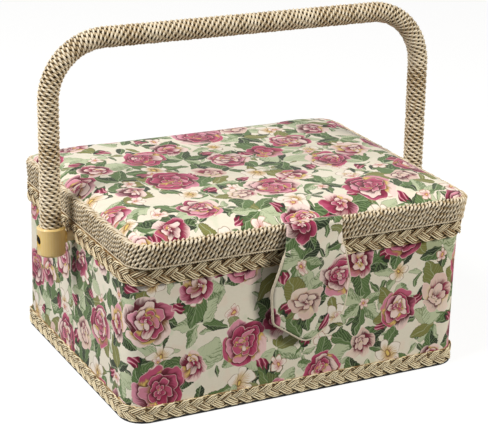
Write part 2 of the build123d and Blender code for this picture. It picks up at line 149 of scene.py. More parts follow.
# ---- Meshes ----
def add(name, data):
    thing = bpy.data.objects.new(name, data)
    bpy.context.scene.collection.objects.link(thing)
    return thing


def add_mesh(name, mesh, material, smooth=True):
    if material:
        mesh.materials.append(material)
    mesh.polygons.foreach_set("use_smooth", [smooth] * len(mesh.polygons))
    return add(name, mesh)


def edit(mesh, change):
    """Passes the mesh's bmesh to change and writes it back."""
    shape = bmesh.new()
    shape.from_mesh(mesh)
    change(shape)
    shape.to_mesh(mesh)
    shape.free()


def new_mesh(name, points, faces):
    mesh = bpy.data.meshes.new(name)
    mesh.from_pydata((points.reshape(-1, 3) * MM).tolist(), [], faces)
    return mesh


def grid_quads(rows, columns):
    """Rows and columns of each quad's corners in a grid of quads, before wrapping."""
    row, column = np.mgrid[:rows, :columns].reshape(2, -1, 1)
    return row + [0, 0, 1, 1], column + [0, 1, 1, 0]


def grid_piece(name, points, material, wrap_rows=False, wrap_columns=False, uv=None, weld=0.0,
               smooth=True):
    """Mesh from a grid of points (rows, columns, 3).

    uv holds millimetres for each point; where the grid wraps it has one more row or column."""
    rows, columns = points.shape[:2]
    row, column = grid_quads(rows - (not wrap_rows), columns - (not wrap_columns))
    mesh = new_mesh(name, points, (row % rows * columns + column % columns).tolist())
    if uv is not None:
        layer = mesh.uv_layers.new(name="print")
        layer.data.foreach_set("uv", (uv[row, column].reshape(-1) * MM).astype(np.float32))
    if weld:
        edit(mesh, lambda shape: bmesh.ops.remove_doubles(shape, verts=shape.verts, dist=weld * MM))
    return add_mesh(name, mesh, material, smooth)


def modify(piece, kind, **settings):
    modifier = piece.modifiers.new(kind.title(), kind)
    for name, value in settings.items():
        setattr(modifier, name, value)
    return modifier


def close_holes(piece):
    """Fills every open edge loop of a piece and turns its faces outwards."""
    def change(shape):
        bmesh.ops.holes_fill(shape, edges=shape.edges, sides=0)
        bmesh.ops.recalc_face_normals(shape, faces=shape.faces)
    edit(piece.data, change)


class Strands:
    """Mesh of strands with oval sections; centres are (strands, points, 3).

    across, outward and tint may be those of the cord that all its plies share. The colour
    attribute 'strand' keeps tint in red, the height of the surface on the strand in green, and
    the distance along it in blue. The green height is the mask for painted shade and highlight."""

    def __init__(self, name, centres, across, outward, wide, thick, sides, tint, material,
                 closed=False):
        count, steps = centres.shape[:2]
        plies = count // len(across)
        across, outward = [np.tile(way, (plies, 1, 1)) for way in (across, outward)]
        angle = np.arange(sides) * tau / sides + pi / 2
        self.points = centres[:, :, None] + (
            across[:, :, None] * (np.cos(angle) * wide)[:, None]
            + outward[:, :, None] * (np.sin(angle) * thick)[:, None])
        row, side = grid_quads(steps - (not closed), sides)
        start = np.arange(count)[:, None, None] * steps * sides
        faces = (start + row % steps * sides + side % sides).reshape(-1, 4).tolist()
        if not closed:
            ring = np.arange(sides)[None]
            faces += (start[:, 0] + ring[:, ::-1]).tolist()
            faces += (start[:, 0] + (steps - 1) * sides + ring).tolist()
        mesh = new_mesh(name, self.points, faces)
        self.colour = np.ones((count, steps, sides, 4), np.float32)
        self.colour[..., 0] = np.tile(tint, (plies, 1))[..., None]
        self.colour[..., 2] = (travelled(centres) * MM)[..., None]
        self.layer = mesh.color_attributes.new("strand", "FLOAT_COLOR", "POINT")
        # Painted light mask: high on the outward half and brightest on its back, 0 for painted
        # shade on the inward half.
        self.set_painted_light_mask(np.where(np.sin(angle) > 0, 1 - 0.7 * np.cos(angle) ** 2, 0))
        self.piece = add_mesh(name, mesh, material)

    def set_painted_light_mask(self, height):
        self.colour[..., 1] = height
        self.layer.data.foreach_set("color", self.colour.reshape(-1))


def travelled(lines):
    """Distance of each point along its line."""
    steps = np.diff(lines, axis=1, prepend=lines[:, :1])
    return np.cumsum(np.linalg.norm(steps, axis=-1), 1)


def two_ply(name, centres, across, outward, ply, sides, swing, rise, pitch, start, tint,
            **settings):
    """Twisted paper cord; its plies swing across each centre line and rise outwards from it."""
    turn = (travelled(centres) / pitch * tau + start)[..., None]
    strands = [centres + swing * np.cos(phase) * across + rise * np.sin(phase) * outward
               for phase in (turn, turn + pi)]
    return Strands(name, np.concatenate(strands), across, outward, ply, ply, sides, tint,
                   paper_cord, **settings)


def waves(x, y, seed, scale, count=7):
    """Smooth irregular surface from a few sine waves, about -1 to 1."""
    draw = np.random.default_rng(seed)
    total = 0 * x * y
    for _ in range(count):
        direction, phase = draw.uniform(0, tau, 2)
        length = scale * draw.uniform(0.6, 1.8)
        total = total + np.sin((x * cos(direction) + y * sin(direction)) * tau / length + phase)
    return total / count ** 0.5 / 1.4


def dress(piece, body, slot, *nodes):
    """Hides the CAD nodes that a piece replaces and hangs it on the body it rides on; slot, what it
    is made of, is not used.
    """
    if nodes:
        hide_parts(*nodes)
    if body:
        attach(piece, body)


# ---- Shader helpers ----
def srgb(red, green, blue):
    """Linear colour of a screen colour from 0 to 255."""
    return tuple(v / 12.92 if v <= 0.04045 else ((v + 0.055) / 1.055) ** 2.4
                 for v in (red / 255, green / 255, blue / 255)) + (1.0,)


class Nodes:
    """Adds shader nodes to a tree."""

    def __init__(self, tree, socket=None):
        self.tree, self.socket = tree, socket

    def plug(self, socket, value):
        """Fills an input with a wire or a value; three levels up to 255 are a screen colour."""
        if isinstance(value, Wire):
            self.tree.links.new(value.socket, socket)
        elif socket.type == "RGBA" and len(value) == 3:
            socket.default_value = srgb(*value)
        else:
            socket.default_value = value

    def node(self, kind, *inputs, out=0, named=(), **settings):
        """Output of a new node; its inputs come in order or, in named, by name or number."""
        node = self.tree.nodes.new("ShaderNode" + kind)
        for name, value in settings.items():
            setattr(node, name, value)
        for key, value in (dict(enumerate(inputs)) | dict(named)).items():
            self.plug(node.inputs[key], value)
        return Wire(self.tree, node.outputs[out])


class Wire(Nodes):
    """Output of a shader node that can be used in sums, so that a pattern reads as a formula."""

    def math(self, operation, *others):
        return self.node("Math", self, *others, operation=operation)

    def __rsub__(self, other):
        return self.node("Math", other, self, operation="SUBTRACT")

    def smooth(self, low, high):
        """0 below low and 1 above high, with a smooth step between; reversed if low is larger."""
        return self.node("MapRange", self, low, high, interpolation_type="SMOOTHSTEP")

    def mix(self, first, second):
        """Colour between two colours."""
        return self.node("Mix", self, out=2, named={6: first, 7: second},
                         data_type="RGBA")


for operation, methods in dict(
        ADD="__add__ __radd__", SUBTRACT="__sub__", MULTIPLY="__mul__ __rmul__",
        DIVIDE="__truediv__", POWER="__pow__", ABSOLUTE="__abs__", SQRT="root", SINE="sine",
        COSINE="cosine", ARCTAN2="arctan2", FLOOR="floor", FRACT="fract", MAXIMUM="at_least",
        GREATER_THAN="above", LESS_THAN="below", FLOORED_MODULO="modulo").items():
    for method in methods.split():
        setattr(Wire, method, lambda wire, *others, kind=operation: wire.math(kind, *others))


class Paint(Nodes):
    """One material with its main shader and the usual sources of detail."""

    def __init__(self, name, rgb, roughness=0.6, **sockets):
        self.material = bpy.data.materials.new(name)
        self.material.use_nodes = True
        self.material.diffuse_color = srgb(*rgb)
        super().__init__(self.material.node_tree)
        self.shader = self.tree.nodes["Principled BSDF"]
        self.set(base_color=rgb, roughness=roughness, **sockets)

    def set(self, **sockets):
        for name, value in sockets.items():
            title = name.replace("_", " ").title().replace("Ior", "IOR")
            self.plug(self.shader.inputs[title], value)

    def place(self):
        """Position in metres on the piece at rest."""
        return self.node("TexCoord", out="Object")

    def split(self, vector, kind="SeparateXYZ"):
        first = self.node(kind, vector)
        return [Wire(self.tree, output) for output in first.socket.node.outputs]

    def join(self, x, y, z=0.0):
        return self.node("CombineXYZ", x, y, z)

    def white(self, vector):
        """Three random numbers for a place."""
        return self.split(self.node("TexWhiteNoise", vector, out=1))

    def noise(self, vector, scale, detail=2.0, rough=0.5, out="Fac"):
        return self.node("TexNoise", vector, out=out,
                         named=dict(Scale=scale, Detail=detail, Roughness=rough))

    def finish(self, colour, relief, distance, strength, **sockets):
        """Plugs in the pattern and its relief, whose distance is in millimetres."""
        bump = self.node("Bump", named=dict(
            Height=relief, Distance=distance * MM, Strength=strength))
        self.set(base_color=colour, normal=bump, **sockets)
        return self.material


# ---- Printed cotton ----
cream, cream_shade = (246, 239, 222), (232, 224, 204)
sage_wash, peach_wash = (222, 226, 200), (244, 226, 208)
leaf_dark, leaf_mid, leaf_light = (22, 40, 22), (92, 120, 70), (200, 209, 174)
leaf_olive, leaf_vein = (128, 128, 66), (188, 200, 164)
rose_dark, rose_deep, rose_mid = (88, 14, 34), (154, 34, 76), (196, 84, 120)
rose_light, rose_pale = (228, 154, 174), (248, 222, 214)
butter, rust, umber = (236, 204, 112), (176, 104, 66), (140, 104, 66)


class Motif:
    """One motif of a half-drop layout: x and y from its middle in millimetres, and its luck."""

    def __init__(self, paint, u, v, tile, shift, jitter, seed):
        width, height = tile
        across = u / width + shift[0]
        column = across.floor()
        up = v / height + (column * 0.5 + shift[1])
        row = up.floor()
        self.paint = paint
        self.cell = paint.join(column, row, seed)
        self.luck = paint.white(self.cell)
        self.x = (across - column - 0.5) * width + (self.luck[0] - 0.5) * jitter
        self.y = (up - row - 0.5) * height + (self.luck[1] - 0.5) * jitter

    def throw(self, *numbers):
        """Three random numbers for one petal or leaf."""
        join = self.paint.join(*numbers)
        return self.paint.white(self.cell.node("VectorMath", self.cell, join))


def polar(x, y):
    return (x * x + y * y).root(), y.arctan2(x)


def leaf_ring(under, motif, die, count, start, length, width, share, sage=0.4):
    """Leaves that point away from one place; each has its own length, lean and green."""
    radius, around = polar(motif.x, motif.y)
    around = around * (count / tau) + motif.luck[die]
    number = around.floor().modulo(count)
    first, second, third = motif.throw(number * 0.37, number * 0.61, count)
    angle = (around.fract() - 0.5) * (tau / count) + (first - 0.5) * 0.36
    along = (radius * angle.cosine() - start) / (length * (second * 0.45 + 0.62))
    bow = (along * along - along) * (first - 0.5) * (width * 0.9)
    side = radius * angle.sine() + bow
    shape = (along * (1.0 - along) * 4.0).at_least(0.0) ** 0.62 * (1.24 - along * 0.48)
    teeth = (along * 58.0).sine() * 0.25
    edge = shape * ((second * 0.3 + 0.78) * (width * 0.5) + teeth) - abs(side)
    rib = abs((along * 7.0 - abs(side) / width * 6.0).fract() - 0.5)
    furrow, ridge = rib.smooth(0.34, 0.5), rib.smooth(0.14, 0.0)
    lifted = side.smooth(-0.7, 0.7)
    tone = motif.paint.grain * 1.3 - 0.37 + lifted * 0.46 + (second - 0.5) * 0.8
    dark = (tone - furrow * 0.35).smooth(0.10, 0.75).mix(leaf_dark, leaf_mid)
    pale = (tone - furrow * 0.55).smooth(-0.05, 0.6).mix(leaf_mid, leaf_light)
    green = first.below(sage).mix(dark, pale)
    green = ((third - 0.86) * 12.0).smooth(0.0, 1.0).mix(green, leaf_olive)
    vein = (ridge * 0.5).at_least(abs(side).smooth(0.50, 0.15))
    green = (vein * 0.62).mix(green, leaf_vein)
    green = (edge.smooth(0.8, 0.1) * 0.55).mix(green, leaf_dark)
    mask = edge.smooth(-0.1, 0.25) * third.above(share) * along.smooth(0.0, 0.02)
    return mask.mix(under, green)


def blossom(under, motif, size, rings, count, swirl, overlap, ripe, faded):
    """Petals that overlap like fish scales, bent round a heart that lies off the middle.

    ripe is a die, its factor and a base; their sum goes from 0 for pale flowers to 1 for deep
    ones. faded is the share of cream flowers."""
    first, second, third = motif.luck
    die, factor, base = ripe
    size = (third * 0.28 + 0.8) * size
    far = polar(motif.x, motif.y)[0] / size
    pull = (1.0 - far).at_least(0.0) * size * 0.5
    radius, around = polar(motif.x + (second - 0.5) * pull,
                           motif.y + (third - 0.5) * pull - pull * 0.25)
    reach = (radius / size) ** 0.82 * rings
    ring = reach.floor()
    around = around * (count / tau) + first * 7.0 + reach * swirl
    step = reach - ring

    def petal(level):
        place = around + level * 0.5 + (level * 2.3).sine() * 0.16
        number = place.floor().modulo(count)
        across = place.fract() - 0.5
        luck = motif.throw(number * 0.37, level * 0.61, 0.0)
        notch = abs(across) * 2.0
        tip = 1.0 - notch ** 2.4 - (0.2 - notch).at_least(0.0) * 0.6
        return [across, number, tip * (luck[0] * 0.5 + 0.65) * overlap] + luck

    inner, outer = petal(ring - 1.0), petal(ring)
    on_top = inner[2].above(step)
    across, number, bulge, *luck = [low + (high - low) * on_top for high, low in zip(inner, outer)]
    level, out = ring - on_top, step + on_top
    streak = motif.paint.noise(
        motif.paint.join(across * 13.0 + number * 5.0, out * 0.9, level + first * 9.0), 1.0, 2.0)
    glow = out * 0.75 - 0.62 + streak * 0.9 + (luck[1] - 0.5) * 0.45 - abs(across) * 0.5
    bloom = luck[0] * 1.4 + first * 0.5 - (motif.luck[die] * factor + base)
    light = bloom.smooth(0.0, 0.30).mix(rose_mid, rose_light)
    light = bloom.smooth(0.42, 0.52).mix(light, rose_pale)
    deep = (luck[2] + 0.25 - level * 0.12).smooth(0.3, 0.7).mix(rose_dark, rose_deep)
    colour = glow.smooth(0.05, 0.85).mix(deep, light)
    gold = luck[1].smooth(0.66, 0.84) * glow.smooth(0.70, 0.25) * glow.smooth(-0.12, 0.16)
    colour = gold.mix(colour, butter)
    if faded:
        colour = (glow.smooth(-0.15, 0.5) * 0.75 * first.below(faded)).mix(colour, peach_wash)
    rim = bulge + 1.0 - out
    colour = (rim.smooth(0.13, 0.03) * 0.7).mix(colour, rose_pale)
    shadow = (step - inner[2]).smooth(0.42, 0.0) * (1.0 - on_top)
    colour = (shadow * 0.85).mix(colour, rose_dark)
    return level.below(rings - 0.5).mix(under, colour)


def bud(under, motif, length, width, share):
    """Closed rosebud on its stem, with pointed green sepals at its foot."""
    x, y, (first, second, third) = motif.x, motif.y, motif.luck
    cosine, sine = (first * tau).cosine(), (first * tau).sine()
    along = (x * cosine + y * sine) / length + 0.5
    bow = (along * along - along) * (second - 0.5) * 0.6
    side = (y * cosine - x * sine) / width + bow
    there = third.above(share)
    stem = abs(side).smooth(0.075, 0.04) * along.smooth(-0.75, -0.70) * along.smooth(0.2, 0.1)
    colour = (stem * there).mix(under, leaf_mid)
    shape = (along * (1.0 - along) * 4.0).at_least(0.0) ** 0.6 * (0.66 - along * 0.34)
    edge = shape - abs(side)
    fold = abs((side * 2.6 + along * 0.9).fract() - 0.5)
    tone = fold * 1.3 + along * 0.5 - 0.25
    petals = tone.smooth(0.0, 0.35).mix(rose_dark, rose_deep)
    petals = tone.smooth(0.35, 0.85).mix(petals, rose_light)
    petals = (fold.smooth(0.43, 0.48) * 0.7).mix(petals, rose_pale)
    colour = (edge.smooth(-0.01, 0.03) * there).mix(colour, petals)
    tips = ((side * 15.0).cosine() * 0.10 + 0.26 - along).smooth(-0.01, 0.02)
    sepal = tips * (edge + 0.07).smooth(0.0, 0.03) * along.smooth(-0.06, -0.02)
    return (sepal * there).mix(colour, (side.smooth(-0.1, 0.1) * 0.7).mix(leaf_dark, leaf_mid))


def sketch(under, motif, size, share, heart=(226, 170, 168), ink=rust):
    """Pale flower of five petals drawn with a thin line of ink."""
    first, second, third = motif.luck
    radius, around = polar(motif.x, motif.y)
    radius = radius / size
    across = (around * (5 / tau) + first).fract() - 0.5
    gap = (1.05 - (abs(across) * 2.0) ** 2.2 * 0.48) * (second * 0.35 + 0.72) - radius
    streak = (across * 44.0 + radius * 3.0).sine() * radius.smooth(1.0, 0.3) * 0.22
    petals = (radius * 1.3 - 0.1 - streak).smooth(0.15, 0.75).mix(heart, (250, 240, 228))
    throat = abs(across * 2.0).smooth(0.14, 0.0) * radius.smooth(0.6, 0.2)
    petals = (throat * 0.6).mix(petals, rose_mid)
    for line in (gap.smooth(0.9 / size, 0.3 / size) * 0.75,
                 (abs(across) + 0.3 / size).smooth(0.46, 0.5) * 0.7,
                 abs(radius - 0.17).smooth(0.06, 0.02)):
        petals = line.mix(petals, ink)
    petals = radius.smooth(0.14, 0.08).mix(petals, butter)
    return (gap.smooth(-0.02, 0.02) * third.above(share)).mix(under, petals)


def make_print():
    paint = Paint("printed_cotton", cream, 0.82, sheen_weight=0.15, specular_ior_level=0.25)
    sheet = paint.node("UVMap", uv_map="print")
    u, v = [length / MM for length in paint.split(sheet)[:2]]
    wobble_x, wobble_y, wash = paint.split(paint.noise(sheet, 60.0, 2.0, out="Color"))
    grain = paint.grain = paint.noise(sheet, 420.0, 3.0, 0.6)
    bent = u + (wobble_x - 0.5) * 14.0, v + (wobble_y - 0.5) * 14.0

    colour = (grain * 0.6).mix(cream, cream_shade)
    colour = (wash.smooth(0.56, 0.70) * 0.7).mix(colour, sage_wash)
    colour = (wash.smooth(0.42, 0.32) * 0.5).mix(colour, peach_wash)

    large, small = (72.0, 66.0), (36.0, 33.0)
    rose_at, flower_at, spray_at, lily_at = (0.18, 0.18), (0.68, 0.43), (0.68, 0.93), (0.18, 0.68)
    # Each layer: what is drawn, its tile, where in the tile, jitter, seed, and the motif's sizes.
    for draw, tile, place, jitter, seed, *sizes in (
            (leaf_ring, small, (0.36, 0.36), 9.0, 3.0, 0, 5, 1.0, 14.0, 4.6, 0.3, 0.5),
            (leaf_ring, large, spray_at, 10.0, 41.0, 2, 6, 1.0, 27.0, 12.5, 0.2, 0.62),
            (leaf_ring, large, lily_at, 12.0, 51.0, 0, 6, 5.0, 20.0, 9.5, 0.42, 0.35),
            (sketch, large, lily_at, 12.0, 51.0, 12.5, 0.08, (212, 178, 112), umber),
            (leaf_ring, large, flower_at, 8.0, 21.0, 2, 5, 2.0, 28.0, 17.5, 0.22, 0.25),
            (sketch, small, (0.86, 0.61), 10.0, 31.0, 7.6, 0.22),
            (leaf_ring, large, rose_at, 8.0, 13.0, 1, 6, 8.5, 20.0, 14.0, 0.28, 0.4),
            (bud, small, (0.31, 0.11), 9.0, 35.0, 14.0, 10.0, 0.5),
            (blossom, large, flower_at, 12.0, 21.0, 12.0, 2.0, 5, 0.3, 0.55, (1, 0.8, 0.0), 0.3),
            (blossom, large, rose_at, 11.0, 13.0, 17.5, 4.0, 5, 0.22, 0.8, (2, 0.6, 0.5), 0.0)):
        colour = draw(colour, Motif(paint, *bent, tile, place, jitter, seed), *sizes)

    thread = 0.52
    warp, weft = (u * (pi / thread)).sine(), (v * (pi / thread)).sine()
    weave = abs(warp) * 0.5 + abs(weft) * 0.5 + warp * weft * 0.35
    # Painted shade between the threads, where the weave lies low.
    colour = (weave.smooth(0.9, 0.1) * 0.10).mix(colour, (120, 100, 84))
    return paint.finish(colour, weave * 0.4 + grain * 0.3, 0.10, 0.5)


# ---- Other materials ----
def make_cord(name, deep, shade, body, painted_highlight):
    """Twisted paper cord or straw, with painted shade between the strands and a painted highlight
    on their backs.
    """
    paint = Paint(name, body, 0.62, specular_ior_level=0.35, sheen_weight=0.1)
    strand = paint.node("VertexColor", layer_name="strand")
    tint, height, along = paint.split(strand, "SeparateColor")
    fibre = paint.noise(paint.join(along, height * 0.004, tint), 900.0, 3.0, 0.6)
    colour = (tint + (fibre - 0.5) * 0.8).smooth(0.1, 0.9).mix(shade, body)
    # Painted highlight where the strand's height is high, on its back.
    colour = (height + (fibre - 0.5) * 0.4 + tint * 0.2).smooth(0.62, 1.0).mix(colour, painted_highlight)
    # Painted shade where the strand's height is low, between the strands.
    colour = height.smooth(0.56, 0.14).mix(colour, deep)
    return paint.finish(colour, fibre, 0.25, 0.6, roughness=fibre * 0.25 + 0.48)


def make_satin(name, shade, body):
    paint = Paint(name, body, 0.34, sheen_weight=0.4, specular_ior_level=0.5)
    place = paint.place()
    x, y, z = paint.split(place)
    thread = (x * 9000.0 + y * 9000.0).sine() * 0.5 + (z * 9000.0).sine() * 0.5
    cloud = paint.noise(place, 60.0, 3.0)
    colour = (cloud * 0.4 + thread * 0.05 + 0.4).smooth(0.2, 0.8).mix(shade, body)
    return paint.finish(colour, thread * 0.5 + cloud * 0.3, 0.06, 0.4,
                        roughness=cloud * 0.1 + 0.29)


def make_moulded(name, shade, body, roughness, **sockets):
    """Moulded plastic: faint flow marks, fine grain, and sharp edges that are duller from wear and
    lighter from wear and a painted highlight.
    """
    paint = Paint(name, body, roughness, **sockets)
    place = paint.place()
    flow = paint.noise(place, 45.0, 3.0) * 0.5 + 0.25
    fine = paint.noise(place, 1800.0, 2.0)
    wear_and_painted_highlight = paint.node("NewGeometry", out="Pointiness").smooth(0.52, 0.60)
    # Sharp edges lighter towards white: partly wear, partly a painted highlight.
    colour = (wear_and_painted_highlight * 0.35).mix(flow.smooth(0.25, 0.75).mix(shade, body), (1.0, 0.98, 0.92, 1.0))
    return paint.finish(colour, fine + flow * 2.0, 0.03, 0.5,
                        roughness=flow * 0.12 + wear_and_painted_highlight * 0.15 + (roughness - 0.05))


def make_metal(name, shade, body, roughness):
    """Plated metal: fine brushing, with the plating duller in patches."""
    paint = Paint(name, body, roughness, metallic=1.0)
    place = paint.place()
    x, y, z = paint.split(place)
    brush = paint.noise(paint.join(x * 0.15, y, z), 3200.0, 2.0)
    patch = paint.noise(place, 160.0, 3.0)
    colour = (patch + (brush - 0.5) * 0.3).smooth(0.3, 0.7).mix(shade, body)
    return paint.finish(colour, brush, 0.02, 0.4,
                        roughness=patch * 0.2 + brush * 0.1 + (roughness - 0.12))


def make_board(name, shade, body):
    """Grey-brown board: pressed fibres and specks."""
    paint = Paint(name, body, 0.88)
    place = paint.place()
    fibre = paint.noise(place, 700.0, 4.0, 0.7)
    speck = paint.noise(place, 260.0, 1.0).smooth(0.66, 0.72)
    colour = (speck * 0.4).mix(fibre.smooth(0.3, 0.7).mix(shade, body), shade)
    return paint.finish(colour, fibre, 0.12, 0.7, roughness=fibre * 0.15 + 0.78)


def make_cloth(name, shade, body, thread):
    """Cloth or cord with crossed ribs of thread, which is in millimetres."""
    paint = Paint(name, body, 0.9, sheen_weight=0.2)
    place = paint.place()
    x, y, z = paint.split(place)
    turns = pi / (thread * MM)
    ribs = abs((x * turns).sine()) * 0.5 + abs(((y + z) * turns).sine()) * 0.5
    fuzz = paint.noise(place, 500.0, 3.0)
    # Random fuzz, and painted shade between the ribs of thread.
    colour = (fuzz * 0.6 + ribs * 0.4).smooth(0.2, 0.8).mix(shade, body)
    return paint.finish(colour, ribs + fuzz * 0.5, 0.15, 0.6, roughness=fuzz * 0.1 + 0.85)


printed = make_print()
# For each cord: painted shade, darker and lighter own colours, then painted highlight.
paper_cord = make_cord("paper_cord", (58, 42, 24), (174, 148, 106), (208, 188, 152),
                       (240, 227, 203))
straw = make_cord("straw_braid", (46, 32, 16), (140, 106, 58), (224, 198, 148),
                  (255, 242, 208))
satin = make_satin("satin", (214, 200, 168), (238, 229, 204))
satin_red = make_satin("satin_pad", (112, 22, 48), (164, 40, 76))
amber = make_moulded("amber_plastic", (216, 172, 72), (248, 210, 106), 0.36,
                     subsurface_weight=0.1, subsurface_radius=(0.003, 0.002, 0.001),
                     coat_weight=0.2)
tray_plastic = make_moulded("tray_plastic", (226, 222, 212), (240, 238, 230), 0.42,
                            subsurface_weight=0.15, subsurface_radius=(0.003, 0.003, 0.003))
nickel = make_metal("nickel", (150, 146, 138), (212, 208, 200), 0.28)
brass = make_metal("brass", (160, 122, 58), (214, 178, 104), 0.32)
dark_steel = make_metal("dark_steel", (34, 28, 22), (66, 56, 46), 0.42)
chipboard = make_board("chipboard", (128, 110, 84), (176, 158, 126))
cane = make_board("cane", (150, 118, 72), (196, 164, 112))
felt = make_cloth("black_cloth", (16, 16, 17), (40, 40, 42), 1.2)
piping = make_cloth("piping_cord", (214, 198, 170), (240, 230, 208), 0.5)

for names, material in (
        (("wall_board", "base_board", "lid_skirt", "lid_board"), chipboard),
        (("tray_ledges",), satin),
        (("clasp_base", "clasp_washer", "clasp_cap", "pivot_washers", "pivot_nuts"), nickel),
        (("pivot_bolts",), dark_steel),
        (("pivot_spacers", "end_cap_left", "end_cap_right"), amber),
        (("hinge_lower_leaves", "hinge_upper_leaves", "hinge_pins", "hinge_lower_screws",
          "hinge_upper_screws"), brass),
        (("handle_core",), cane), (("tray",), tray_plastic)):
    for name in names:
        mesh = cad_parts[name].data
        mesh.materials.clear()
        mesh.materials.append(material)


# ---- Handle: cord wound round the bail ----
def leaned(points):
    """The handle's lean about its pivot."""
    angle = radians(-handle_lean)
    x, y, z = np.moveaxis(points, -1, 0)
    return vec(x, y * cos(angle) - z * sin(angle), y * sin(angle) + z * cos(angle))


def bail(s):
    """The handle's centre line at distances s from its left foot: place, direction, length."""
    leg = handle_reach - handle_bend - winding_foot
    arc, bar = handle_bend * pi / 2, 2 * (leg_x - handle_bend)
    s = np.asarray(s, float)
    turn_one = np.clip((s - leg) / handle_bend, 0, pi / 2)
    turn_two = np.clip((s - leg - arc - bar) / handle_bend, 0, pi / 2)
    angle = turn_one + turn_two
    up = np.minimum(s, leg)
    down = np.clip(s - leg - 2 * arc - bar, 0, None)
    across = np.clip(s - leg - arc, 0, bar)
    x = -leg_x + handle_bend * (1 - np.cos(turn_one) + np.sin(turn_two)) + across
    z = winding_foot + up + handle_bend * (np.sin(turn_one) - 1 + np.cos(turn_two)) - down
    return (leaned(vec(x, 0.0, z)) + up_way * pivot_height,
            leaned(vec(np.sin(angle), 0.0, np.cos(angle))), 2 * leg + 2 * arc + bar)


def make_winding():
    cord_pitch, ply_twist, steps = 2.9, 10.4, 44
    cord, ply, ply_swing, ply_sides = 1.64, 0.98, 0.84, 6
    painted_shade_depth, relief = 1.70, 1.65     # how deep the painted shade starts, and how far above it the painted highlight is
    length = bail(0.0)[2]
    turns = int(length / cord_pitch)
    s = np.linspace(0, length, turns * steps)

    def wavy(seed, scale):
        return waves(s, 0.0, seed, scale)

    middle, along, _ = bail(s)
    side = leaned(np.array([0.0, 1.0, 0.0]))
    turn = (s / length * turns * tau + 0.25 * wavy(5, 40.0))[:, None]
    out = np.cos(turn) * side + np.sin(turn) * np.cross(along, side)
    radius = winding_radius - cord + 0.12 * wavy(6, 9.0)
    cords = two_ply("handle_cord", (middle + out * radius[:, None])[None], along[None], out[None],
                    ply, ply_sides, ply_swing, cord - ply, ply_twist, 1.5 * wavy(9, 60.0),
                    0.5 + 0.45 * wavy(8, 30.0)[None])
    # Painted shade and highlight by height over the hollow between the turns, rather than over each
    # ply's own middle.
    reach = np.linalg.norm(cords.points - middle[None, :, None], axis=-1)
    cords.set_painted_light_mask(np.clip((reach - (winding_radius - painted_shade_depth)) / relief, 0, 1))
    dress(cords.piece, "handle", "paper_cord", "handle_winding")


# ---- Lid band: slanting turns of cord ----
def make_band():
    spacing, slant, steps, bend = 3.4, 0.50, 26, 1.3
    cord, ply, ply_twist, ply_swing, ply_sides = 1.64, 1.00, 10.6, 0.62, 5
    under_pad, under_edge = 4.2, 0.8    # hidden ends of each turn
    count = int(lid.length / spacing)
    corner = bend * pi / 2
    lengths = np.array([under_pad, corner, band_height - 2 * (cord + bend), corner, under_edge])
    ends = run_up(lengths)
    w = np.linspace(0, ends[-1], steps)
    bends = [np.clip((w - ends[i]) / bend, 0, pi / 2) for i in (1, 3)]
    angle = pi / 2 - bends[0] - bends[1]
    run_in = np.clip(ends[1] - w, 0, None) + np.clip(w - ends[4], 0, None)
    drop = np.clip(w - ends[2], 0, lengths[2])
    inset = cord + bend + run_in - bend * np.cos(angle)
    height = lid_top - cord - bend - drop + bend * np.sin(angle)
    first = np.arange(count) * lid.length / count
    s = first[:, None] + (ends[2] - w)[None] * slant + chance.normal(0, 0.12, (count, 1))
    swell = 0.10 * waves(s, height[None], 21, 12.0)
    flat, outward = lid.at(s, inset - swell, (height - lid_bottom) / band_height)
    centre, outward = raised(flat, outward, height)
    out = outward * np.cos(angle)[:, None] + up_way * np.sin(angle)[:, None]
    across = unit(np.cross(out, unit(np.gradient(centre, axis=1))))
    start = chance.normal(0, 0.9, (count, 1))
    tint = np.clip(chance.normal(0.55, 0.22, (count, 1)), 0, 1) + 0 * s
    cords = two_ply("lid_band_cord", centre, across, out, ply, ply_sides, ply_swing, cord - ply,
                    ply_twist, start, tint)
    # Mask for painted shade where a ply lies low on its cord, and for a painted highlight where it
    # rises outwards.
    above = cords.points - np.tile(centre, (2, 1, 1))[:, :, None]
    lift = (above * np.tile(out, (2, 1, 1))[:, :, None]).sum(-1)
    cords.set_painted_light_mask(np.clip((lift + 0.15) / 1.6, 0, 1))
    dress(cords.piece, "lid", "paper_cord", "lid_band")

    # Thin cord that runs along the lower edge and covers the ends of the turns.
    edge_ply, edge_swing, edge_sides, edge_twists = 0.50, 0.40, 6, 250
    edge_inset, edge_rise, edge_height = 0.75, 0.06, 0.95
    s = lid.round(1500)
    centre, out = raised(*lid.at(s[None], edge_inset, edge_rise), lid_bottom + edge_height)
    cords = two_ply("lid_edge_cord", centre, up_way + 0 * out, out, edge_ply, edge_sides,
                    edge_swing, edge_swing, lid.length / edge_twists, 0.0, 0.6 + 0 * s[None],
                    closed=True)
    dress(cords.piece, "lid", "paper_cord")


